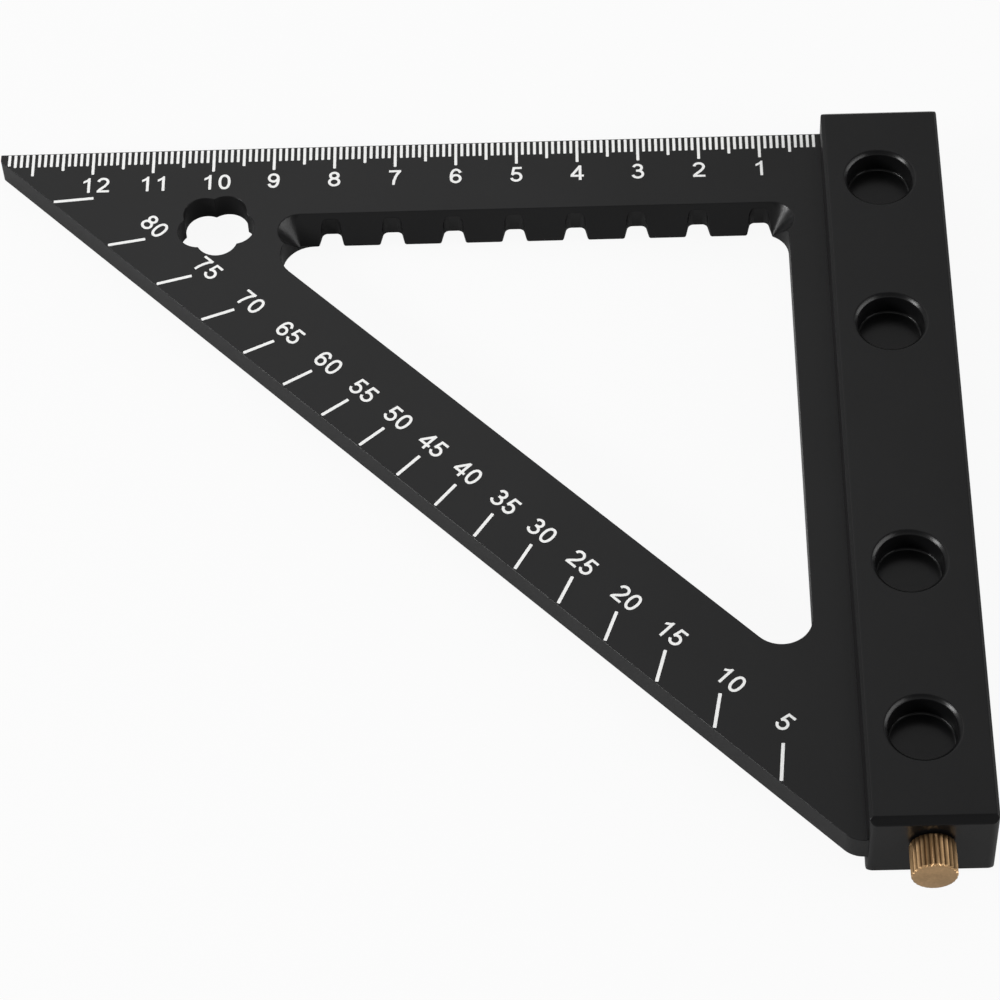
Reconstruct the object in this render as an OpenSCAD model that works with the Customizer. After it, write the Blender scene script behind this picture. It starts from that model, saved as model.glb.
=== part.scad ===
// Rafter square with a marked blade, a fence bar and a pull-out scriber.
// The origin is the square's corner, where the fence's guide face, the
// graduated edge and the blade's underside meet. Everything is drawn with x as
// the distance from the fence towards the tip and y as the distance from the
// graduated edge, and laid() turns that round to lie along -X and -Y.

/* [Blade] */
// Length of each leg of the blade's triangle, to its sharp corners
blade_leg = 136.9; // [120:0.1:200]
// Thickness of the blade plate
blade_t = 4.7; // [3.5:0.1:8]
// How much of the sharp tip is cut off square
tip_trim = 1.4; // [0.5:0.1:4]
// Radius that takes off the tip's lower edge
tip_r = 0.8; // [0.3:0.1:2]
// How far the blade's heel stands in from the fence's end
heel_set = 0.6; // [0.5:0.1:0.9]
// Radius between the heel and the long edge
heel_r = 4; // [1:0.1:6]
// How deep the blade's tang sits in the fence's slot
tang_depth = 6.2; // [5.2:0.1:6.3]

/* [Opening] */
// Width of the blade between the fence and the opening
web_w = 5.9; // [4.5:0.1:9]
// Width of the band between the opening and the long edge
band_w = 16.8; // [13:0.1:22]
// Width of the graduated band, down to its toe
rule_w = 17.5; // [15:0.1:22]
// How far the bevel runs across the graduated band's inner edge
bevel_run = 3.2; // [2:0.1:3.4]
// Flat that the bevel leaves at the toe
toe_land = 0.3; // [0.2:0.1:1]
// Corner radius beside the fence, at the toe
web_r = 4.2; // [3:0.1:7]
// Corner radius at the opening's lower point
low_r = 4.8; // [2:0.1:8]
// Corner radius at the opening's point towards the tip
point_r = 5.1; // [3:0.1:6]
// Radius that is left at the foot of the bevel's rounded ends
bevel_foot_r = 0.3; // [0.1:0.1:1]
// How far the bevel's end stands in from the web
bevel_start = 2.6; // [2.2:0.1:6]
// How far the bevel runs on past the start of the point's corner
bevel_finish = 2.2; // [0:0.1:4]

/* [Marking notches] */
// Greatest number of notches in the toe
notch_count = 8; // [1:1:8]
// Distance from one notch to the next
notch_pitch = 10; // [8:0.5:12]
// Distance from the fence to the first notch
notch_first = 10.5; // [10:0.1:14]
// Depth of a notch behind the toe
notch_depth = 2.6; // [1.5:0.1:3]
// Width of a notch across its back
notch_back_w = 3.2; // [2.4:0.1:4]
// Angle at which each side of a notch flares
notch_flare = 13; // [1:1:20]
// Radius in the notch's back corners
notch_r = 0.9; // [0.3:0.1:1.1]
// Radius on the toe beside each notch
toe_r = 0.4; // [0.2:0.1:0.8]

/* [Hanging hole] */
// Distance of the hole's centre from the blade's sharp tip
hole_back = 37.7; // [34:0.1:40]
// Distance of the hole's centre from the graduated edge
hole_v = 16.1; // [14:0.1:17]
// Number of lobes round the hole
lobe_count = 5; // [4:1:6]
// Radius of each lobe
lobe_r = 3.4; // [3:0.1:4]
// Distance of each lobe's centre from the hole's centre
lobe_offset = 3; // [2:0.1:3.2]
// Angle of the first lobe
lobe_turn = 23; // [0:1:72]

/* [Fence] */
// How much shorter the fence is than the blade's sharp leg
fence_short = 1.4; // [0.8:0.1:2]
// Width of the fence bar
fence_w = 18.9; // [17:0.1:28]
// Height of the fence above the blade's upper face
fence_above = 6; // [5.6:0.1:10]
// Depth of the fence below the blade's underside
fence_below = 4.1; // [3.8:0.1:10]
// Bevel along the fence's long edges
edge_bevel = 0.5; // [0.2:0.1:0.8]
// Bevel along the fence's end edges
end_bevel = 1.1; // [0.5:0.1:1.5]
// Radius of the fence's upright corners
corner_r = 1.2; // [1:0.1:2]

/* [Round pockets] */
// Radius of a pocket's wall
pocket_r = 5.2; // [4:0.1:6]
// Depth of a pocket
pocket_depth = 4.2; // [2:0.1:4.4]
// Bevel round a pocket's mouth
pocket_bevel = 0.6; // [0.2:0.1:0.8]
// Radius round a pocket's floor
pocket_floor_r = 0.4; // [0.2:0.1:1]
// Distance of the pockets' centre line from the guide face
pocket_in = 8.8; // [8:0.1:10]
// Distance of the first pocket from the fence's far end
pocket_far = 14.7; // [12:0.1:18]
// Distance of the last pocket from the fence's near end
pocket_near = 16; // [15:0.1:20]
// Distance between the two pockets of a pair
pocket_pair = 29.5; // [20:0.1:34]

/* [Screws and dowels] */
// Radius of the blade screws
screw_r = 1.5; // [1:0.05:1.6]
// Radius of the blade screws' countersunk heads
screw_head_r = 2.8; // [2.2:0.1:2.9]
// Height of the screw head's rim below its cone
screw_rim = 0.3; // [0.2:0.1:0.6]
// How far the screw heads are sunk above the fence's underside
screw_sink = 0.3; // [0.1:0.1:0.6]
// How far the screws reach into the fence above the blade
screw_grip = 4; // [2:0.1:4.4]
// Distance of the screws and dowels from the guide face
screw_in = 3.6; // [3.3:0.1:3.9]
// Key size of the screw heads, across the flats
screw_key = 2; // [1.5:0.1:2.2]
// Depth of the screw heads' key sockets
screw_key_depth = 1.2; // [0.8:0.1:1.4]
// Radius of the dowel pins
dowel_r = 1.5; // [1:0.05:1.6]
// How far the dowels reach into the fence above the blade
dowel_grip = 3; // [2:0.1:4]
// How far the dowels are sunk above the fence's underside
dowel_sink = 0.4; // [0.2:0.1:1]
// Distance of the dowels from the ends of the blade's tang
dowel_inset = 6.4; // [5:0.1:8]

/* [Scriber] */
// Distance of the scriber's axis from the guide face
scriber_in = 9.3; // [9.1:0.1:11]
// Height of the scriber's axis above the blade's underside
scriber_z = 4.8; // [3.8:0.1:4.9]
// Radius of the scriber's needle
needle_r = 0.9; // [0.7:0.05:1]
// Length of the needle inside the fence
needle_in_l = 58; // [40:1:80]
// Length of the needle's ground point
needle_point_l = 7; // [4:0.5:12]
// Radius of the needle's very tip
needle_tip_r = 0.08; // [0.05:0.01:0.2]
// Radius of the knob
knob_r = 3.45; // [3:0.05:4.5]
// Length of the knob
knob_l = 5.5; // [4.5:0.1:10]
// Gap between the knob and the fence's end
knob_gap = 0.3; // [0.2:0.05:1]
// Bevel on the knob's edges
knob_bevel = 0.35; // [0.1:0.05:0.6]
// Number of knurl teeth round the knob
knurl_count = 26; // [16:2:36]
// Depth of the knurl's grooves
knurl_depth = 0.28; // [0.1:0.02:0.4]
// How much the turned outside takes off the knurl's sharp crests
knurl_crest = 0.06; // [0.02:0.02:0.1]
// How deep the needle is pressed into the knob
knob_socket = 3.8; // [2:0.1:4]
// Length of the bush that holds the needle
bush_l = 8; // [5:0.5:9]
// Wall of the bush
bush_wall = 0.95; // [0.5:0.05:1.1]
// How far the bush is set back from the fence's end
bush_set = 0.2; // [0.1:0.1:1]

/* [Fits] */
// Radial clearance of the needle in its bush
run_fit = 0.03; // [0.02:0.01:0.08]
// Radial clearance of pressed, threaded and doweled pieces
seat_fit = 0.01; // [0.01:0.01:0.03]
// Gap all round the blade's tang in its slot
slot_gap = 0.05; // [0.02:0.01:0.15]
// Radial clearance of the needle past its bush
bore_clear = 0.15; // [0.1:0.05:0.3]
// Radial clearance of the screws below the blade and through it
hole_clear = 0.2; // [0.1:0.05:0.4]
// Spare depth at the blind ends of holes
end_clear = 0.8; // [0.3:0.1:1]

/* [Hidden] */
$fn = 96;
// Overrun of every cut past the face that it opens
over = 1;
full_turn = 360;
diagonal = sqrt(2);
hex_sides = 6;
key_r = screw_key / sqrt(3);

// Leg of the opening's triangle, measured from the square's corner
inner_leg = blade_leg - band_w * diagonal;
fence_l = blade_leg - fence_short;
tip_u = blade_leg - tip_trim;
heel_v = fence_l - heel_set;
heel_u = blade_leg - heel_v;
// The heel's radius stays within the heel's flat
heel_round = min(heel_r, heel_u * (1 + diagonal));
// Opening's corners: beside the fence, towards the tip and at the lower point
web_corner = [web_w, rule_w];
point_corner = [inner_leg - rule_w, rule_w];
low_corner = [web_w, inner_leg - web_w];
// Where the straight toe ends, at the start of the point's corner
toe_end_u = point_corner[0] - point_r * (1 + diagonal);
hole_u = blade_leg - hole_back;

// Tool that cuts the bevel: its slanting side meets the land along the toe
bevel_h = blade_t - toe_land;
bevel_slope = bevel_run / bevel_h;
bevel_axis_v = rule_w + bevel_foot_r;
bevel_top_r = bevel_foot_r + bevel_run + over * bevel_slope;
bevel_u1 = web_w + bevel_start;
bevel_u2 = toe_end_u + bevel_finish;

// As many notches as the straight toe has room for
notches = min(notch_count, 1 + floor((toe_end_u - notch_first) / notch_pitch));
// Centre of the rounding in a notch's back corner, and where its side begins
notch_back = [notch_back_w / 2 - notch_r, notch_r - notch_depth];
notch_side = notch_back + notch_r * [cos(notch_flare), -sin(notch_flare)];
notch_toe = [notch_side[0] - notch_side[1] * tan(notch_flare), 0];
notch_mouth = notch_toe + over * [tan(notch_flare), 1];

fence_top = blade_t + fence_above;
fence_bottom = -fence_below;
fence_h = fence_top - fence_bottom;

// Places along the fence of the pockets, and of a screw between each two
pocket_places = [
    pocket_far,
    pocket_far + pocket_pair,
    fence_l - pocket_near - pocket_pair,
    fence_l - pocket_near
];
screw_places = [for (i = [1 : len(pocket_places) - 1]) (pocket_places[i - 1] + pocket_places[i]) / 2];
dowel_places = [dowel_inset, heel_v - dowel_inset];

screw_z1 = fence_bottom + screw_sink;
screw_z2 = blade_t + screw_grip;
screw_cone_h = screw_head_r - screw_r;
dowel_z1 = fence_bottom + dowel_sink;
dowel_z2 = blade_t + dowel_grip;

bush_r = needle_r + run_fit + bush_wall;
bush_v1 = fence_l - bush_set - bush_l;
needle_v1 = fence_l - needle_in_l;
knob_v1 = fence_l + knob_gap;

// Point at a distance from zero, in a direction given in degrees
function ray(angle, distance) = distance * [cos(angle), sin(angle)];

// Turns the drawing round into the square's own frame
module laid() rotate([0, 0, 180]) children();

// The sliver between a sharp corner and the arc that rounds it. The corner's
// edges leave it at angles a1 and a2, with the solid between them.
module corner_relief(corner, a1, a2, r) {
    half = (a2 - a1) / 2;
    middle = (a1 + a2) / 2;
    centre = corner + ray(middle, r / sin(half));
    difference() {
        polygon([
            corner - ray(middle, over / sin(half)),
            centre + ray(a1 - 90, r + over),
            centre,
            centre + ray(a2 + 90, r + over)
        ]);
        translate(centre) circle(r);
    }
}

// Blade's outline: a right triangle with trimmed corners
module blade_outline() {
    difference() {
        polygon([[0, 0], [tip_u, 0], [tip_u, tip_trim], [heel_u, heel_v], [0, heel_v]]);
        corner_relief([heel_u, heel_v], 180, 315, heel_round);
        corner_relief([tip_u, tip_trim], 135, 270, tip_r);
    }
}

// Triangular opening with rounded corners, along the toe of the bevel
module opening_outline() {
    difference() {
        polygon([web_corner, point_corner, low_corner]);
        corner_relief(web_corner, 0, 90, web_r);
        corner_relief(low_corner, 270, 315, low_r);
        corner_relief(point_corner, 135, 180, point_r);
    }
}

// Rounding of the toe beside a notch
module toe_rounding() {
    corner_relief(notch_toe, -90 - notch_flare, 0, toe_r);
}

// One marking notch, seen from its place on the toe
module notch_outline(first) {
    polygon([
        [-notch_back[0], -notch_depth],
        [notch_back[0], -notch_depth],
        notch_side,
        notch_mouth,
        [-notch_mouth[0], notch_mouth[1]],
        [-notch_side[0], notch_side[1]]
    ]);
    translate(notch_back) circle(notch_r);
    translate([-notch_back[0], notch_back[1]]) circle(notch_r);
    toe_rounding();
    // the first notch runs into the corner beside the fence on its other side
    if (!first) mirror([1, 0]) toe_rounding();
}

// Lobed hanging hole
module hole_outline() {
    for (i = [0 : lobe_count - 1])
        translate(ray(lobe_turn + i * full_turn / lobe_count, lobe_offset)) circle(lobe_r);
}

// Bevel cut: a cone at each end and a straight groove between them
module bevel_cut() {
    for (u = [bevel_u1, bevel_u2])
        translate([u, bevel_axis_v, toe_land])
            cylinder(h = bevel_h + over, r1 = bevel_foot_r, r2 = bevel_top_r);
    translate([bevel_u1, bevel_axis_v, toe_land]) rotate([90, 0, 90])
        linear_extrude(bevel_u2 - bevel_u1) polygon([
            [-bevel_foot_r, 0],
            [bevel_foot_r, 0],
            [bevel_top_r, bevel_h + over],
            [-bevel_top_r, bevel_h + over]
        ]);
}

module blade() {
    color([0.10, 0.10, 0.11]) laid() difference() {
        linear_extrude(blade_t) difference() {
            blade_outline();
            opening_outline();
            translate([hole_u, hole_v]) hole_outline();
            for (i = [0 : notches - 1])
                translate([notch_first + i * notch_pitch, rule_w]) notch_outline(i == 0);
        }
        bevel_cut();
    }
    color([0.10, 0.10, 0.11]) laid() tang();
}

// Tang along the blade's short side, a little thinner than the blade, with its
// holes. Its root in the blade ends in a slant, inside the heel's rounding.
module tang() {
    root = web_w / 2;
    translate([0, 0, slot_gap]) linear_extrude(blade_t - 2 * slot_gap) difference() {
        polygon([[-tang_depth, 0], [root, 0], [root, heel_v - 2 * root], [0, heel_v], [-tang_depth, heel_v]]);
        for (v = screw_places) translate([-screw_in, v]) circle(screw_r + hole_clear);
        for (v = dowel_places) translate([-screw_in, v]) circle(dowel_r + seat_fit);
    }
}

// The fence seen from above, with its upright corners rounded
module rounded_plan() {
    difference() {
        square([fence_w, fence_l]);
        corner_relief([0, 0], 0, 90, corner_r);
        corner_relief([fence_w, 0], 90, 180, corner_r);
        corner_relief([fence_w, fence_l], 180, 270, corner_r);
        corner_relief([0, fence_l], 270, 360, corner_r);
    }
}

// Rectangle from one corner to the other, with its corners cut off
module bevelled(low, high, cut) {
    polygon([
        [low[0] + cut, low[1]],
        [high[0] - cut, low[1]],
        [high[0], low[1] + cut],
        [high[0], high[1] - cut],
        [high[0] - cut, high[1]],
        [low[0] + cut, high[1]],
        [low[0], high[1] - cut],
        [low[0], low[1] + cut]
    ]);
}

// Bar with bevelled edges, as the common part of its three outlines
module fence_bar() {
    intersection() {
        translate([-fence_w, 0, fence_bottom - over])
            linear_extrude(fence_h + 2 * over) rounded_plan();
        translate([0, fence_l + over, 0]) rotate([90, 0, 0])
            linear_extrude(fence_l + 2 * over)
                bevelled([-fence_w, fence_bottom], [0, fence_top], edge_bevel);
        translate([-fence_w - over, 0, 0]) rotate([90, 0, 90])
            linear_extrude(fence_w + 2 * over)
                bevelled([0, fence_bottom], [fence_l, fence_top], end_bevel);
    }
}

// Blind pocket with a bevelled mouth and a rounded floor
module pocket_cut() {
    rotate_extrude() difference() {
        polygon([
            [0, -pocket_depth],
            [pocket_r, -pocket_depth],
            [pocket_r, -pocket_bevel],
            [pocket_r + pocket_bevel + over, over],
            [0, over]
        ]);
        corner_relief([pocket_r, -pocket_depth], 90, 180, pocket_floor_r);
    }
}

// Blind hole for one blade screw, from its countersink to its thread
module screw_cut() {
    translate([0, 0, screw_z1]) cylinder(h = screw_z2 + end_clear - screw_z1, r = screw_r + seat_fit);
    translate([0, 0, screw_z1]) cylinder(h = -screw_z1, r = screw_r + hole_clear);
    translate([0, 0, screw_z1 + screw_rim])
        cylinder(h = screw_cone_h, r1 = screw_head_r + seat_fit, r2 = screw_r + seat_fit);
    translate([0, 0, fence_bottom - over])
        cylinder(h = over + screw_sink + screw_rim, r = screw_head_r + seat_fit);
}

// Lays a piece that is drawn upwards along the scriber's axis, from place v on
module along_scriber(v) {
    translate([-scriber_in, v, scriber_z]) rotate([-90, 0, 0]) children();
}

module fence() {
    color([0.09, 0.09, 0.10]) laid() difference() {
        fence_bar();
        // slot for the blade's tang, open at the far end
        translate([-tang_depth - slot_gap, -over, 0])
            cube([tang_depth + slot_gap + over, over + heel_v + slot_gap, blade_t]);
        for (v = pocket_places) translate([-pocket_in, v, fence_top]) pocket_cut();
        for (v = screw_places) translate([-screw_in, v, 0]) screw_cut();
        for (v = dowel_places)
            translate([-screw_in, v, fence_bottom - over])
                cylinder(h = over + dowel_z2 + end_clear - fence_bottom, r = dowel_r + seat_fit);
        along_scriber(needle_v1 - end_clear)
            cylinder(h = end_clear + needle_in_l + over, r = needle_r + bore_clear);
        along_scriber(bush_v1) cylinder(h = bush_l + bush_set + over, r = bush_r + seat_fit);
    }
}

module blade_screws() {
    color([0.30, 0.30, 0.32]) laid()
        for (v = screw_places) translate([-screw_in, v, screw_z1]) difference() {
            union() {
                cylinder(h = screw_z2 - screw_z1, r = screw_r);
                cylinder(h = screw_rim, r = screw_head_r);
                translate([0, 0, screw_rim]) cylinder(h = screw_cone_h, r1 = screw_head_r, r2 = screw_r);
            }
            translate([0, 0, -over]) cylinder(h = over + screw_key_depth, r = key_r, $fn = hex_sides);
        }
}

module dowel_pins() {
    color([0.72, 0.72, 0.74]) laid()
        for (v = dowel_places)
            translate([-screw_in, v, dowel_z1]) cylinder(h = dowel_z2 - dowel_z1, r = dowel_r);
}

module scriber_bush() {
    color([0.78, 0.62, 0.34]) laid() along_scriber(bush_v1) difference() {
        cylinder(h = bush_l, r = bush_r);
        translate([0, 0, -over]) cylinder(h = bush_l + 2 * over, r = needle_r + run_fit);
    }
}

module scriber_needle() {
    color([0.70, 0.70, 0.72]) laid() along_scriber(needle_v1) {
        cylinder(h = needle_point_l, r1 = needle_tip_r, r2 = needle_r);
        translate([0, 0, needle_point_l])
            cylinder(h = needle_in_l + knob_gap + knob_socket - needle_point_l, r = needle_r);
    }
}

// Toothed outline of the straight knurl
module knurl_outline() {
    step = full_turn / knurl_count;
    polygon([
        for (i = [0 : knurl_count - 1]) for (tooth = [
            ray(i * step, knob_r + knurl_crest),
            ray((i + 1 / 2) * step, knob_r - knurl_depth)
        ]) tooth
    ]);
}

// Knob with a knurl all along and bevelled ends
module scriber_knob() {
    color([0.80, 0.62, 0.36]) laid() along_scriber(knob_v1) difference() {
        intersection() {
            rotate_extrude() polygon([
                [0, 0],
                [knob_r - knob_bevel, 0],
                [knob_r, knob_bevel],
                [knob_r, knob_l - knob_bevel],
                [knob_r - knob_bevel, knob_l],
                [0, knob_l]
            ]);
            linear_extrude(knob_l) knurl_outline();
        }
        translate([0, 0, -over]) cylinder(h = over + knob_socket, r = needle_r + seat_fit);
    }
}

blade();
fence();
blade_screws();
dowel_pins();
scriber_bush();
scriber_needle();
scriber_knob();
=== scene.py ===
"""Rafter square: a black anodised blade with white marks, a fence bar and a brass scriber knob.

Lengths are millimetres in the square's own frame until a mesh is made. -X runs along
the graduated edge towards the tip, -Y along the fence towards the knob, +Z is up.
"""

from math import ceil, cos, hypot, pi, radians, sin, sqrt

import bmesh
import bpy
from mathutils import Euler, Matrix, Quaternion, Vector
from mathutils.geometry import delaunay_2d_cdt


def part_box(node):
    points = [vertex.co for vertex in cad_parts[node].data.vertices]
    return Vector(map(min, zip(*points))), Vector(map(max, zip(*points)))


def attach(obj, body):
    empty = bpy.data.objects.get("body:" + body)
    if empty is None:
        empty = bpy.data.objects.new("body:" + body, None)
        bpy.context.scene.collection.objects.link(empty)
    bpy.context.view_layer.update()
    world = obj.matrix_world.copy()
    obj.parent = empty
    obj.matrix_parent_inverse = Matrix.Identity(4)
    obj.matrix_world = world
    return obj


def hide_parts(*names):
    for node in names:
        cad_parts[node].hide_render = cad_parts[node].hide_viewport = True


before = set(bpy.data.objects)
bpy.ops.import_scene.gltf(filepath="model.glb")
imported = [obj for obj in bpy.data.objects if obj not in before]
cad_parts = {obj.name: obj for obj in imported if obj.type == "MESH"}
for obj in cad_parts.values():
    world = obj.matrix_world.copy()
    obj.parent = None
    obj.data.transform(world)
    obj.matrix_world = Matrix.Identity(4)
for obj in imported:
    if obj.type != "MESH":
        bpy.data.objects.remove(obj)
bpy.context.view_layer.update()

MM = 0.001
DIAGONAL = sqrt(2)

# The blade, as the marks need it
BLADE_LEG = 136.9
BLADE_TOP = 4.7

# A hair of rounding on edges that turn by more than this angle. On the fence, only those
# that lie this near its outer faces get it.
EDGE_ROUND = 0.12
SHARP_ANGLE = 28
SKIN = 0.7

# Faces that turn by less than the first angle are one face, and those that turn by less
# than the second are shaded as one
FLAT_ANGLE = 0.2
SMOOTH_ANGLE = 50
KNOB_SMOOTH_ANGLE = 35

# Corners this near to each other are one, before and after the rounding, in metres
SAME_CORNER = 1e-6
SAME_ROUNDED_CORNER = 2e-6

# The white marks stand a hair above the blade's face and reach a hair into it
MARK_PROUD = 0.02
MARK_SUNK = 0.03

# A digit's width and stroke, for a height of 1
DIGIT_W = 0.77
STROKE = 0.145

# Centimetre scale
TICK_W = 0.47
TICK_FIRST = 1
TICK_LAST = 134
TICK_START = 0.16
TICK_SHORT = 2.85
TICK_FIVE = 3.75
TICK_TEN = 4.75
TICK_END_R = 0.12
NUMBER_LAST = 12
NUMBER_V = 7.05
NUMBER_H = 3.1
NUMBER_PITCH = 0.84
NUMBER_NUDGE = {10: 0.6, 11: 0.3, 12: 0.6}

# Degree scale: rays from its centre, cut off by two lines parallel to the long edge. A
# number stands on its own ray, shifted along the edge where the real one is.
DEGREE_CENTRE = (1.06, -0.55)
DEGREE_STEP = 5
DEGREE_LAST = 85
DEGREE_IN = 129.4
DEGREE_OUT = 136.5
DEGREE_W = 0.52
DEGREE_NUMBER_LAST = 80
DEGREE_NUMBER_AT = 125.3
DEGREE_NUMBER_H = 3.1
DEGREE_NUMBER_PITCH = 0.78
DEGREE_NUDGE = {
    5: -0.2, 10: -1.55, 15: -0.3, 20: -0.8, 25: -0.4, 30: -0.25, 35: -0.4,
    65: 0.4, 70: 0.5, 75: 0.9, 80: 2.9,
}

# Knob, drawn along its axis from the fence's end outwards
KNOB_TEETH = 26
KNOB_TOOTH_STEPS = 8
KNOB_ROOT_SHARE = 0.91
KNOB_BEVEL = 0.42
KNOB_BEVEL_STEPS = 4
KNOB_GROOVE_POWER = 0.8
# Painted shade: the dark colour that the knurl's grooves are painted, standing in for the shade in
# them
KNOB_GROOVE_PAINTED_SHADE = (0.09, 0.052, 0.024)

# How far the floor tips: the square lies on the fence's inner lower edge and its tip
REST_EDGE_X = 0.5
FENCE_BOTTOM = -4.1
TIP_X = -135.5

# How much of the metal's tone is fine grain, and the rest is cloud
FINE_SHARE = 0.4

# The floor's grey, its radius in metres, and how much of it is plain white, to the camera
# and in metal
FLOOR_GREY = 0.55
FLOOR_RADIUS = 3.0
FLOOR_WHITE = 0.93
FLOOR_MIRRORED = 0.04

# Brightness of the surround, from the horizon up to the zenith
SURROUND = ((0.0, 0.5), (0.36, 0.72), (0.45, 0.35), (0.52, 0.14), (0.64, 0.14), (1.0, 0.18))

# The middle of the square, which the panels face, and each panel's direction, distance,
# width and height in metres, brightness and roll
PANELS_FACE = (-50, -70, 0)
PANELS = {
    "left_panel": ((-0.86, -0.263, 0.438), 0.95, 0.34, 0.24, 30, 0),
    "right_panel": ((0.936, -0.165, 0.309), 1.8, 2.2, 0.6, 4.5, -23),
    "back_panel": ((0.0, 0.60, 0.81), 1.5, 2.4, 1.1, 0.4, 0),
    "back_left_panel": ((-0.29, 0.55, 0.78), 1.5, 1.12, 0.9, 0.85, 0),
    "top_panel": ((0.0, -0.05, 1.0), 1.5, 0.7, 0.7, 0.9, 0),
}

# The camera that was fitted to the photographed scales
CAMERA_LENS = 140.488
CAMERA_SENSOR = 36
CAMERA_PLACE = (-37.759, -422.974, 495.629)
CAMERA_TURN = (35.4857, 1.97954, -0.276961)


# Helpers


def link(name, mesh):
    """A new object in the scene for a mesh."""
    piece = bpy.data.objects.new(name, mesh)
    bpy.context.scene.collection.objects.link(piece)
    return piece


def finished(piece, material, body, stands_for=None):
    """Gives a piece its material, ties it to its body, and hides the CAD node that it stands for."""
    piece.data.materials.clear()
    piece.data.materials.append(material)
    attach(piece, body)
    if stands_for:
        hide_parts(stands_for)
    return piece


# Camera


def make_camera():
    """Camera at the photograph's place, fitted to the printed scales."""
    lens = bpy.data.cameras.new("photo_camera")
    lens.lens = CAMERA_LENS
    lens.sensor_width = CAMERA_SENSOR
    lens.clip_start = 0.05
    lens.clip_end = 20
    camera = bpy.data.objects.new("photo_camera", lens)
    camera.location = Vector(CAMERA_PLACE) * MM
    camera.rotation_euler = Euler([radians(a) for a in CAMERA_TURN], "XYZ")
    bpy.context.scene.collection.objects.link(camera)
    bpy.context.scene.camera = camera


# Numerals and marks


def oval(x, y, rx, ry, start=0, sweep=360, squareness=2.0, steps=None):
    """Points along an oval from an angle, in degrees; squareness above 2 squares it."""
    steps = steps or max(4, ceil(abs(sweep) / 15))
    points = []
    for i in range(steps + 1):
        a = radians(start + sweep * i / steps)
        c, s = cos(a), sin(a)
        reach = (abs(c) ** squareness + abs(s) ** squareness) ** (-1 / squareness)
        points.append((x + rx * reach * c, y + ry * reach * s))
    return points


def ribbon(points, width, closed=False):
    """Four-sided outlines that follow a line of points at a width."""
    count = len(points)
    sides = []
    for i, (x, y) in enumerate(points):
        before = points[(i - 1) % count] if closed or i else points[i]
        after = points[(i + 1) % count] if closed or i < count - 1 else points[i]
        dx, dy = after[0] - before[0], after[1] - before[1]
        size = hypot(dx, dy)
        nx, ny = -dy / size * width / 2, dx / size * width / 2
        sides.append(((x - nx, y - ny), (x + nx, y + ny)))
    pairs = zip(sides, sides[1:] + sides[:1] if closed else sides[1:])
    return [[a[0], b[0], b[1], a[1]] for a, b in pairs]


def ring(x, y, rx, ry, width, squareness=2.0):
    """Closed stroke round an oval."""
    return ribbon(oval(x, y, rx, ry, squareness=squareness, steps=28)[:-1], width, closed=True)


def box_outline(x1, y1, x2, y2):
    """Outline of an upright box."""
    return [(x1, y1), (x2, y1), (x2, y2), (x1, y2)]


def digit_outlines():
    """Each digit's strokes as flat outlines, for a height of 1, in a plain sans-serif hand."""
    w = STROKE
    six_bowl = ring(0.385, 0.313, 0.24, 0.243, w)
    six_stem = ribbon(oval(0.405, 0.47, 0.265, 0.457, 195, -163, 2.15), w)
    six = six_bowl + six_stem
    two_neck = [(0.46, 0.42), (0.3, 0.28), (0.165, 0.15), (0.12, 0.07)]
    seven_leg = [(0.66, 0.95), (0.53, 0.78), (0.42, 0.55), (0.335, 0.28), (0.3, 0)]
    one_flag = [(0.145, 0.64), (0.26, 0.69), (0.39, 0.775), (0.44, 1), (0.425, 1)]
    one_flag += [(0.335, 0.885), (0.145, 0.775)]
    return {
        "0": ring(0.385, 0.5, 0.248, 0.435, w, 2.25),
        "1": [
            [(0.375, 0), (0.52, 0), (0.52, 0.78), (0.375, 0.78)],
            [(0.375, 0.765), (0.52, 0.765), (0.52, 1), (0.425, 1)],
            one_flag,
        ],
        "2": ribbon(oval(0.37, 0.7, 0.25, 0.235, 172, -208) + two_neck, w)
        + [box_outline(0.045, 0, 0.7, 0.135)],
        "3": ribbon(oval(0.35, 0.735, 0.215, 0.2, 165, -255) + [(0.27, 0.535)], w)
        + ribbon(oval(0.355, 0.2975, 0.265, 0.2375, 90, -257), w),
        "4": [
            box_outline(0.455, 0, 0.6, 1),
            box_outline(0.02, 0.225, 0.725, 0.36),
            [(0.02, 0.36), (0.195, 0.36), (0.6, 0.935), (0.6, 1), (0.47, 1)],
        ],
        "5": ribbon(oval(0.365, 0.325, 0.262, 0.262, 148, -313), w)
        + [
            box_outline(0.19, 0.865, 0.665, 1),
            [(0.09, 0.475), (0.215, 0.49), (0.25, 0.56), (0.325, 1), (0.187, 1)],
        ],
        "6": six,
        "7": ribbon(seven_leg, w) + [box_outline(0.07, 0.865, 0.705, 1)],
        "8": ring(0.385, 0.735, 0.208, 0.197, w) + ring(0.385, 0.3, 0.258, 0.235, w),
        "9": [[(DIGIT_W - x, 1 - y) for x, y in outline] for outline in six],
    }


def joined(outlines):
    """The union of flat outlines: its points, and triangles that each turn to the left."""
    points, faces = [], []
    for outline in outlines:
        area = sum(a[0] * b[1] - b[0] * a[1] for a, b in zip(outline, outline[1:] + outline[:1]))
        outline = outline if area > 0 else outline[::-1]
        faces.append(list(range(len(points), len(points) + len(outline))))
        points += [Vector(p) for p in outline]
    points, _, triangles, _, _, from_face = delaunay_2d_cdt(points, [], faces, 0, 1e-6)
    return points, [t for t, origin in zip(triangles, from_face) if origin]


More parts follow.
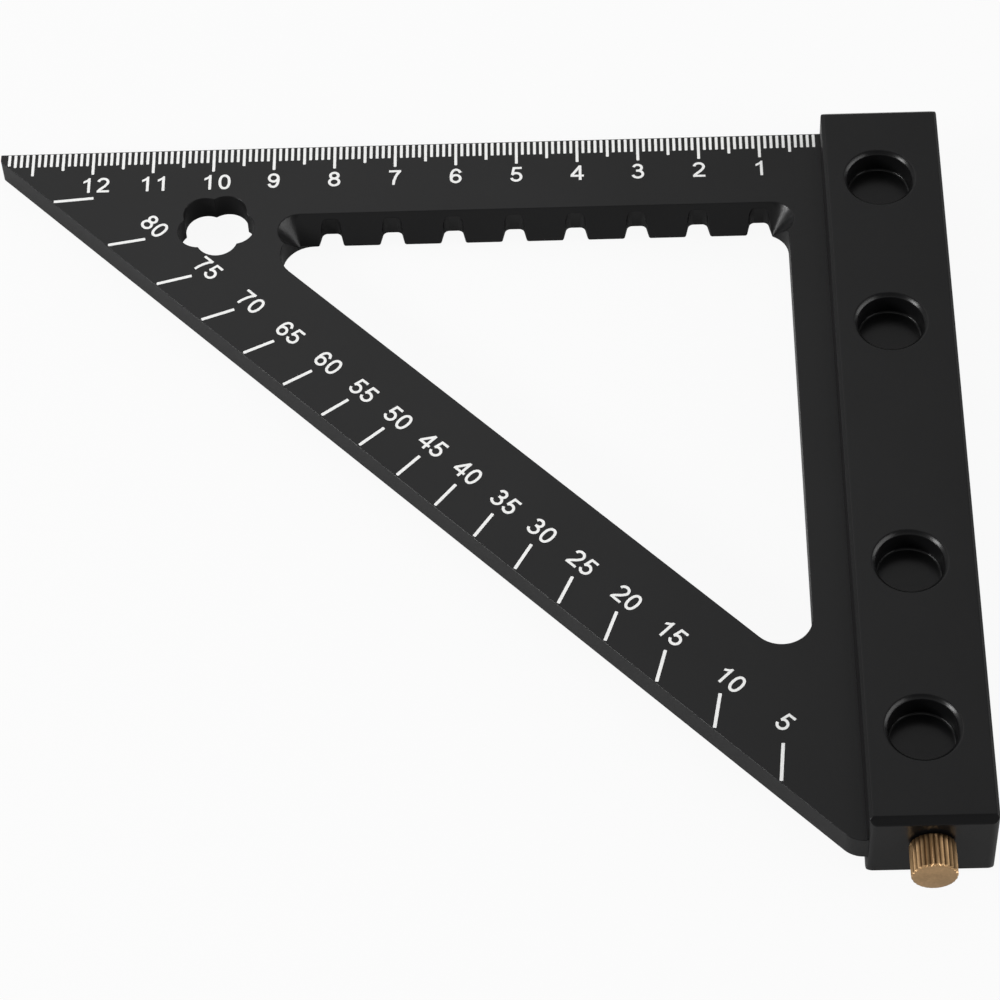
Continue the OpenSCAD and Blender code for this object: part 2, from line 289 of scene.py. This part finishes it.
def add_raised(mesh, shape, place):
    """Adds a flat shape to a mesh as a closed solid; place() puts its points on the blade."""
    points, triangles = shape
    used = sorted({i for t in triangles for i in t})
    top, bottom = {}, {}
    for i in used:
        x, y = place(*points[i])
        top[i] = mesh.verts.new(Vector((x, y, BLADE_TOP + MARK_PROUD)) * MM)
        bottom[i] = mesh.verts.new(Vector((x, y, BLADE_TOP - MARK_SUNK)) * MM)
    edges = {(t[k], t[k - 2]) for t in triangles for k in range(3)}
    for t in triangles:
        mesh.faces.new([top[i] for i in t])
        mesh.faces.new([bottom[i] for i in reversed(t)])
    for a, b in edges:
        if (b, a) not in edges:
            mesh.faces.new([top[b], top[a], bottom[a], bottom[b]])


def mark_bar(length, width, end_r):
    """A bar along +y from zero, with its four corners slightly rounded."""
    half = width / 2
    corners = [(half - end_r, length - end_r, 0), (end_r - half, length - end_r, 90)]
    corners += [(end_r - half, end_r, 180), (half - end_r, end_r, 270)]
    return joined([[p for x, y, a in corners for p in oval(x, y, end_r, end_r, a, 90, steps=3)]])


def number_width(text, pitch):
    """A number's width, for a height of 1."""
    return (len(text) - 1) * pitch + DIGIT_W


def write_number(mesh, shapes, text, height, pitch, middle, reading):
    """Writes a number round its middle; reading is the direction that it is read in."""
    rx, ry = reading
    start = -number_width(text, pitch) / 2
    for i, digit in enumerate(text):
        left = start + i * pitch

        def place(x, y):
            along, up = (left + x) * height, (y - 0.5) * height
            return middle[0] + along * rx - up * ry, middle[1] + along * ry + up * rx

        add_raised(mesh, shapes[digit], place)


def make_marks(name, draw):
    """One piece of white marks, drawn into a mesh by draw()."""
    mesh = bmesh.new()
    draw(mesh)
    data = bpy.data.meshes.new(name)
    mesh.to_mesh(data)
    mesh.free()
    return link(name, data)


def draw_ticks(mesh):
    """A tick for every millimetre, longer at five and at ten."""
    for mm in range(TICK_FIRST, TICK_LAST + 1):
        length = TICK_TEN if mm % 10 == 0 else TICK_FIVE if mm % 5 == 0 else TICK_SHORT
        length = min(length, BLADE_LEG - mm - EDGE_ROUND * DIAGONAL - TICK_W / 2)
        bar = mark_bar(length - TICK_START, TICK_W, TICK_END_R)
        add_raised(mesh, bar, lambda x, y, mm=mm: (-mm - x, -TICK_START - y))


def degree_reach(degrees, total):
    """How far along a degree's ray its distances from the fence and the edge add up to total."""
    a = radians(degrees)
    return (total - sum(DEGREE_CENTRE)) / (sin(a) + cos(a))


def on_degree_ray(degrees, reach, aside=0):
    """A point along a degree's ray, or aside of it, in the square's frame."""
    a = radians(degrees)
    return (
        -(DEGREE_CENTRE[0] + reach * sin(a) + aside * cos(a)),
        -(DEGREE_CENTRE[1] + reach * cos(a) - aside * sin(a)),
    )


def draw_degree_marks(mesh):
    """A mark for every fifth degree along the long edge."""
    for degrees in range(DEGREE_STEP, DEGREE_LAST + 1, DEGREE_STEP):
        near, far = (degree_reach(degrees, total) for total in (DEGREE_IN, DEGREE_OUT))
        bar = mark_bar(far - near, DEGREE_W, TICK_END_R)
        add_raised(mesh, bar, lambda x, y, d=degrees, near=near: on_degree_ray(d, near + y, x))


def draw_numbers(mesh):
    """The centimetre scale's numbers, under their ticks."""
    for number in range(1, NUMBER_LAST + 1):
        middle = (-(10 * number - NUMBER_NUDGE.get(number, 0)), -NUMBER_V)
        write_number(mesh, digits, str(number), NUMBER_H, NUMBER_PITCH, middle, (1, 0))


def draw_degree_numbers(mesh):
    """The degree scale's numbers, read along the long edge."""
    reading = (1 / DIAGONAL, -1 / DIAGONAL)
    for degrees in range(DEGREE_STEP, DEGREE_NUMBER_LAST + 1, DEGREE_STEP):
        x, y = on_degree_ray(degrees, degree_reach(degrees, DEGREE_NUMBER_AT))
        nudge = DEGREE_NUDGE.get(degrees, 0)
        middle = (x - nudge * reading[0], y - nudge * reading[1])
        write_number(mesh, digits, str(degrees), DEGREE_NUMBER_H, DEGREE_NUMBER_PITCH, middle, reading)


# Metal pieces


def softened_copy(node, name, shows):
    """The node's own solid, whose sharp edges get a hair of rounding where shows() is true."""
    mesh = bmesh.new()
    mesh.from_mesh(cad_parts[node].data)
    bmesh.ops.remove_doubles(mesh, verts=mesh.verts, dist=SAME_CORNER)
    flat = radians(FLAT_ANGLE)
    bmesh.ops.dissolve_limit(mesh, angle_limit=flat, verts=mesh.verts, edges=mesh.edges)
    edges = [
        edge
        for edge in mesh.edges
        if edge.is_convex
        and edge.calc_face_angle() > radians(SHARP_ANGLE)
        and shows((edge.verts[0].co + edge.verts[1].co) / 2 / MM)
    ]
    size = EDGE_ROUND * MM
    bmesh.ops.bevel(mesh, geom=edges, offset=size, segments=2, profile=0.5, affect="EDGES")
    bmesh.ops.remove_doubles(mesh, verts=mesh.verts, dist=SAME_ROUNDED_CORNER)
    bmesh.ops.dissolve_degenerate(mesh, edges=mesh.edges, dist=SAME_ROUNDED_CORNER)
    data = bpy.data.meshes.new(name)
    mesh.to_mesh(data)
    mesh.free()
    old_normals = data.attributes.get("custom_normal")
    if old_normals:
        data.attributes.remove(old_normals)
    data.shade_smooth()
    data.set_sharp_from_angle(angle=radians(SMOOTH_ANGLE))
    piece = link(name, data)
    flat_faces = piece.modifiers.new("flat_faces_stay_flat", "WEIGHTED_NORMAL")
    flat_faces.mode = "FACE_AREA"
    flat_faces.weight = 100
    flat_faces.keep_sharp = True
    return piece


def outside_fence(place):
    """True for a place on the blade that the fence doesn't cover."""
    return place.x < -EDGE_ROUND


def on_fence_skin(place):
    """True for a place on the fence that isn't deep inside its slot or bores."""
    return min(*(place - fence_low), *(fence_high - place)) < SKIN


def make_knob():
    """Turned brass knob: a straight knurl with rounded teeth, and rounded ends."""
    low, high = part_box("scriber_knob")
    x, z = (low.x + high.x) / 2, (low.z + high.z) / 2
    radius = (high.x - low.x) / 2
    length = high.y - low.y
    bevel = KNOB_BEVEL * MM
    around = KNOB_TEETH * KNOB_TOOTH_STEPS
    rounding = []
    for i in range(KNOB_BEVEL_STEPS + 1):
        a = pi / 2 * i / KNOB_BEVEL_STEPS
        rounding.append((bevel * (1 - cos(a)), bevel * (1 - sin(a))))
    stations = sorted({*rounding, *((length - along, inset) for along, inset in rounding)})
    mesh = bmesh.new()
    rings = []
    for along, inset in stations:
        verts = []
        for k in range(around):
            a = 2 * pi * k / around
            tooth = abs(((k / KNOB_TOOTH_STEPS) % 1) - 0.5) * 2
            groove = (1 - KNOB_ROOT_SHARE) * (1 - tooth) ** KNOB_GROOVE_POWER
            r = min(radius * (1 - groove), radius - inset)
            verts.append(mesh.verts.new((x + r * cos(a), high.y - along, z + r * sin(a))))
        rings.append(verts)
    for a, b in zip(rings, rings[1:]):
        for k in range(around):
            n = (k + 1) % around
            mesh.faces.new([a[k], a[n], b[n], b[k]])
    mesh.faces.new(rings[0][::-1])
    mesh.faces.new(rings[-1])
    bmesh.ops.recalc_face_normals(mesh, faces=mesh.faces)
    data = bpy.data.meshes.new("knurled_knob")
    mesh.to_mesh(data)
    mesh.free()
    data.shade_smooth()
    data.set_sharp_from_angle(angle=radians(KNOB_SMOOTH_ANGLE))
    return link("knurled_knob", data)


# Materials


def new_group(name, inputs, outputs):
    """An empty shader node group with its sockets, and its nodes' two ends."""
    group = bpy.data.node_groups.new(name, "ShaderNodeTree")
    for label, kind, value in inputs:
        socket = group.interface.new_socket(label, in_out="INPUT", socket_type=kind)
        socket.default_value = value
    for label, kind in outputs:
        group.interface.new_socket(label, in_out="OUTPUT", socket_type=kind)
    return group, group.nodes.new("NodeGroupInput"), group.nodes.new("NodeGroupOutput")


def add_math(tree, operation, first, second):
    """A Math node on two links or numbers, and its result."""
    node = tree.nodes.new("ShaderNodeMath")
    node.operation = operation
    for socket, value in zip(node.inputs, (first, second)):
        if isinstance(value, (int, float)):
            socket.default_value = value
        else:
            tree.links.new(value, socket)
    return node.outputs[0]


def blasted_grain():
    """Fine even grain of a bead-blasted and anodised face."""
    group, start, end = new_group(
        "blasted_grain",
        [("Scale", "NodeSocketFloat", 6000.0), ("Cloud Scale", "NodeSocketFloat", 60.0)],
        [("Height", "NodeSocketFloat"), ("Tone", "NodeSocketFloat")],
    )
    place = group.nodes.new("ShaderNodeTexCoord").outputs["Object"]
    fine = group.nodes.new("ShaderNodeTexNoise")
    fine.inputs["Detail"].default_value = 2
    cloud = group.nodes.new("ShaderNodeTexNoise")
    cloud.inputs["Detail"].default_value = 3
    for node, label in ((fine, "Scale"), (cloud, "Cloud Scale")):
        group.links.new(place, node.inputs["Vector"])
        group.links.new(start.outputs[label], node.inputs["Scale"])
    group.links.new(fine.outputs["Fac"], end.inputs["Height"])
    fine_part = add_math(group, "MULTIPLY", fine.outputs["Fac"], FINE_SHARE)
    cloud_part = add_math(group, "MULTIPLY", cloud.outputs["Fac"], 1 - FINE_SHARE)
    group.links.new(add_math(group, "ADD", fine_part, cloud_part), end.inputs["Tone"])
    return group


def distance_from_axis(group, place, axis_point):
    """How far a place is from an axis along Y."""
    away = group.nodes.new("ShaderNodeVectorMath")
    away.operation = "SUBTRACT"
    group.links.new(place, away.inputs[0])
    group.links.new(axis_point, away.inputs[1])
    flat = group.nodes.new("ShaderNodeVectorMath")
    flat.operation = "MULTIPLY"
    flat.inputs[1].default_value = (1, 0, 1)
    group.links.new(away.outputs[0], flat.inputs[0])
    length = group.nodes.new("ShaderNodeVectorMath")
    length.operation = "LENGTH"
    group.links.new(flat.outputs[0], length.inputs[0])
    return length.outputs["Value"]


def turned_lines():
    """Fine rings that a lathe leaves round an axis along Y."""
    group, start, end = new_group(
        "turned_lines",
        [
            ("Axis Point", "NodeSocketVector", (0, 0, 0)),
            ("Rings per mm", "NodeSocketFloat", 6.0),
        ],
        [("Height", "NodeSocketFloat")],
    )
    place = group.nodes.new("ShaderNodeTexCoord").outputs["Object"]
    away = distance_from_axis(group, place, start.outputs["Axis Point"])
    rings = add_math(group, "MULTIPLY", start.outputs["Rings per mm"], 2 * pi / MM)
    wave = add_math(group, "SINE", add_math(group, "MULTIPLY", away, rings), 0)
    group.links.new(wave, end.inputs["Height"])
    return group


def groove_shade():
    """How far up a knurl's tooth a place is, from 0 in a groove to 1 on a tooth or an end face: the
    mask for the painted shade in the knurl's grooves.
    """
    group, start, end = new_group(
        "groove_shade",
        [
            ("Axis Point", "NodeSocketVector", (0, 0, 0)),
            ("Root Radius", "NodeSocketFloat", 0.003),
            ("Tooth Height", "NodeSocketFloat", 0.0003),
            ("End Face", "NodeSocketFloat", -0.14),
        ],
        [("Shade", "NodeSocketFloat")],
    )
    place = group.nodes.new("ShaderNodeTexCoord").outputs["Object"]
    along = group.nodes.new("ShaderNodeSeparateXYZ")
    group.links.new(place, along.inputs[0])
    away = distance_from_axis(group, place, start.outputs["Axis Point"])
    up = add_math(group, "SUBTRACT", away, start.outputs["Root Radius"])
    up = add_math(group, "DIVIDE", up, start.outputs["Tooth Height"])
    on_end = add_math(group, "LESS_THAN", along.outputs["Y"], start.outputs["End Face"])
    shade = add_math(group, "MAXIMUM", up, on_end)
    group.links.new(shade, end.inputs["Shade"])
    return group


def surface(name, color, roughness, metallic, specular=0.5):
    """A new material with a Principled surface."""
    material = bpy.data.materials.new(name)
    material.use_nodes = True
    shader = material.node_tree.nodes["Principled BSDF"]
    shader.inputs["Base Color"].default_value = (*color, 1)
    shader.inputs["Roughness"].default_value = roughness
    shader.inputs["Metallic"].default_value = metallic
    shader.inputs["Specular IOR Level"].default_value = specular
    return material, shader


def place_group(material, group, **values):
    """A group placed in a material, with its own values."""
    node = material.node_tree.nodes.new("ShaderNodeGroup")
    node.node_tree = group
    for label, value in values.items():
        node.inputs[label.replace("_", " ")].default_value = value
    return node


def add_bump(material, shader, height, distance, strength):
    """Bump on a surface from a height, with its depth in millimetres."""
    bump = material.node_tree.nodes.new("ShaderNodeBump")
    bump.inputs["Distance"].default_value = distance * MM
    bump.inputs["Strength"].default_value = strength
    material.node_tree.links.new(height, bump.inputs["Height"])
    material.node_tree.links.new(bump.outputs["Normal"], shader.inputs["Normal"])


def tint_by(material, shader, tone, dark, light, low=0.35, high=0.65):
    """Base colour between two close colours, by a tone."""
    ramp = material.node_tree.nodes.new("ShaderNodeValToRGB")
    ramp.color_ramp.elements[0].position = low
    ramp.color_ramp.elements[0].color = (*dark, 1)
    ramp.color_ramp.elements[1].position = high
    ramp.color_ramp.elements[1].color = (*light, 1)
    material.node_tree.links.new(tone, ramp.inputs["Fac"])
    material.node_tree.links.new(ramp.outputs["Color"], shader.inputs["Base Color"])


def black_anodised(name, roughness, specular, dark, light):
    """Bead-blasted aluminium, anodised black."""
    material, shader = surface(name, light, roughness, 0.0, specular)
    grain = place_group(material, grain_group, Scale=7000.0, Cloud_Scale=45.0)
    tint_by(material, shader, grain.outputs["Tone"], dark, light)
    add_bump(material, shader, grain.outputs["Height"], 0.01, 0.5)
    return material


def brass(name, dark, light, roughness, axis_point):
    """Turned brass, with the lathe's fine rings."""
    material, shader = surface(name, light, roughness, 1.0)
    grain = place_group(material, grain_group, Scale=2500.0, Cloud_Scale=500.0)
    tint_by(material, shader, grain.outputs["Tone"], dark, light)
    rings = place_group(material, turned_group, Axis_Point=axis_point, Rings_per_mm=5.0)
    add_bump(material, shader, rings.outputs["Height"], 0.003, 0.5)
    return material


def darken_grooves(material, color):
    """Paints shade into the knob's grooves as a dark colour, and leaves its teeth and its end face
    bright.
    """
    tree = material.node_tree
    low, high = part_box("scriber_knob")
    radius = (high.x - low.x) / 2
    groove = place_group(
        material,
        groove_painted_shade_group,
        Axis_Point=(low + high) / 2,
        Root_Radius=radius * KNOB_ROOT_SHARE,
        Tooth_Height=radius * (1 - KNOB_ROOT_SHARE),
        End_Face=low.y + KNOB_BEVEL * MM,
    )
    base = tree.nodes["Principled BSDF"].inputs["Base Color"]
    mix = tree.nodes.new("ShaderNodeMixRGB")
    mix.use_clamp = True
    mix.inputs["Color1"].default_value = (*color, 1)
    tree.links.new(base.links[0].from_socket, mix.inputs["Color2"])
    tree.links.new(groove.outputs["Shade"], mix.inputs["Fac"])
    tree.links.new(mix.outputs["Color"], base)


def steel(name, dark, light, roughness, scale):
    """Ground or blackened steel, with a grain of its own scale."""
    material, shader = surface(name, light, roughness, 1.0)
    grain = place_group(material, grain_group, Scale=scale, Cloud_Scale=300.0)
    tint_by(material, shader, grain.outputs["Tone"], dark, light)
    add_bump(material, shader, grain.outputs["Height"], 0.004, 0.4)
    return material


def white_marking():
    """Matt white of the marks in the blade's face."""
    material, shader = surface("white_marks", (0.88, 0.88, 0.87), 0.6, 0.0, 0.3)
    grain = place_group(material, grain_group, Scale=7000.0, Cloud_Scale=300.0)
    tint_by(material, shader, grain.outputs["Tone"], (0.85, 0.85, 0.84), (0.91, 0.91, 0.90))
    return material


# Floor and light


def make_floor():
    """Pale floor, tipped so that the square rests on it, white to the camera and to gloss."""
    material = bpy.data.materials.new("pale_floor")
    material.use_nodes = True
    tree = material.node_tree
    tree.nodes.clear()
    output = tree.nodes.new("ShaderNodeOutputMaterial")
    diffuse = tree.nodes.new("ShaderNodeBsdfDiffuse")
    diffuse.inputs["Color"].default_value = (FLOOR_GREY, FLOOR_GREY, FLOOR_GREY, 1)
    white = tree.nodes.new("ShaderNodeEmission")
    white.inputs["Strength"].default_value = 1.0
    ray = tree.nodes.new("ShaderNodeLightPath").outputs
    mirrored = add_math(tree, "MAXIMUM", ray["Is Glossy Ray"], ray["Is Transmission Ray"])
    mirrored = add_math(tree, "MULTIPLY", mirrored, FLOOR_MIRRORED)
    seen = add_math(tree, "MULTIPLY", ray["Is Camera Ray"], FLOOR_WHITE)
    share = add_math(tree, "MAXIMUM", mirrored, seen)
    mix = tree.nodes.new("ShaderNodeMixShader")
    tree.links.new(share, mix.inputs["Fac"])
    tree.links.new(diffuse.outputs[0], mix.inputs[1])
    tree.links.new(white.outputs[0], mix.inputs[2])
    tree.links.new(mix.outputs[0], output.inputs["Surface"])

    slope = -FENCE_BOTTOM / (REST_EDGE_X - TIP_X)
    mesh = bmesh.new()
    bmesh.ops.create_circle(mesh, cap_ends=True, segments=96, radius=FLOOR_RADIUS)
    for v in mesh.verts:
        v.co.z = FENCE_BOTTOM * MM + (REST_EDGE_X * MM - v.co.x) * slope
    data = bpy.data.meshes.new("floor")
    mesh.to_mesh(data)
    mesh.free()
    floor = link("floor", data)
    floor.data.materials.append(material)


def area_light(name, direction, distance, width, height, brightness, roll):
    """A soft panel that faces the middle of the square from a direction, turned by its roll."""
    lamp = bpy.data.lights.new(name, "AREA")
    lamp.shape = "RECTANGLE"
    lamp.size = width
    lamp.size_y = height
    lamp.energy = brightness * pi * width * height
    panel = bpy.data.objects.new(name, lamp)
    way = Vector(direction).normalized()
    panel.location = Vector(PANELS_FACE) * MM + way * distance
    turned = way.to_track_quat("Z", "Y") @ Quaternion((0, 0, 1), radians(roll))
    panel.rotation_euler = turned.to_euler()
    bpy.context.scene.collection.objects.link(panel)


def make_light():
    """Plain soft studio light: a dim surround and soft panels."""
    world = bpy.data.worlds.new("studio")
    world.use_nodes = True
    tree = world.node_tree
    place = tree.nodes.new("ShaderNodeTexCoord")
    parts = tree.nodes.new("ShaderNodeSeparateXYZ")
    ramp = tree.nodes.new("ShaderNodeValToRGB")
    tree.links.new(place.outputs["Generated"], parts.inputs[0])
    tree.links.new(parts.outputs["Z"], ramp.inputs["Fac"])
    tree.links.new(ramp.outputs["Color"], tree.nodes["Background"].inputs["Color"])
    while len(ramp.color_ramp.elements) < len(SURROUND):
        ramp.color_ramp.elements.new(0.5)
    for stop, (height, level) in zip(ramp.color_ramp.elements, SURROUND):
        stop.position = height
        stop.color = (level, level, level, 1)
    bpy.context.scene.world = world
    for name, values in PANELS.items():
        area_light(name, *values)


# The square

make_camera()
grain_group = blasted_grain()
turned_group = turned_lines()
groove_painted_shade_group = groove_shade()

blade_black = black_anodised(
    "black_anodised_blade", 0.32, 0.25, (0.0045, 0.0045, 0.0047), (0.0065, 0.0065, 0.0068)
)
fence_black = black_anodised(
    "black_anodised_fence", 0.28, 0.22, (0.004, 0.004, 0.0042), (0.006, 0.006, 0.0063)
)
knob_low, knob_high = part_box("scriber_knob")
knob_axis = (knob_low + knob_high) / 2
knob_brass = brass("knob_brass", (0.50, 0.32, 0.16), (0.64, 0.41, 0.215), 0.34, knob_axis)
# Painted shade in the knurl's grooves, darkest at each groove's root
darken_grooves(knob_brass, KNOB_GROOVE_PAINTED_SHADE)
bush_brass = brass("bush_brass", (0.56, 0.40, 0.19), (0.66, 0.48, 0.25), 0.3, knob_axis)
marks_white = white_marking()
needle_steel = steel("needle_steel", (0.52, 0.52, 0.53), (0.62, 0.62, 0.63), 0.22, 3000.0)
bright_steel = steel("bright_steel", (0.5, 0.5, 0.51), (0.6, 0.6, 0.61), 0.25, 3000.0)
dark_steel = steel("dark_steel", (0.045, 0.045, 0.05), (0.07, 0.07, 0.075), 0.35, 2500.0)

for node, material in (
    ("blade_screws", dark_steel),
    ("dowel_pins", bright_steel),
    ("scriber_bush", bush_brass),
    ("scriber_needle", needle_steel),
):
    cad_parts[node].data.materials[0] = material

fence_low, fence_high = (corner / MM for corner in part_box("fence"))
blade = softened_copy("blade", "blade_plate", outside_fence)
finished(blade, blade_black, "square", "blade")
fence = softened_copy("fence", "fence_bar", on_fence_skin)
finished(fence, fence_black, "square", "fence")
finished(make_knob(), knob_brass, "scriber", "scriber_knob")

digits = {digit: joined(outlines) for digit, outlines in digit_outlines().items()}
for name, draw in (
    ("centimetre_ticks", draw_ticks),
    ("centimetre_numbers", draw_numbers),
    ("degree_marks", draw_degree_marks),
    ("degree_numbers", draw_degree_numbers),
):
    finished(make_marks(name, draw), marks_white, "square")

make_floor()
make_light()
bpy.context.scene.view_settings.view_transform = "Standard"
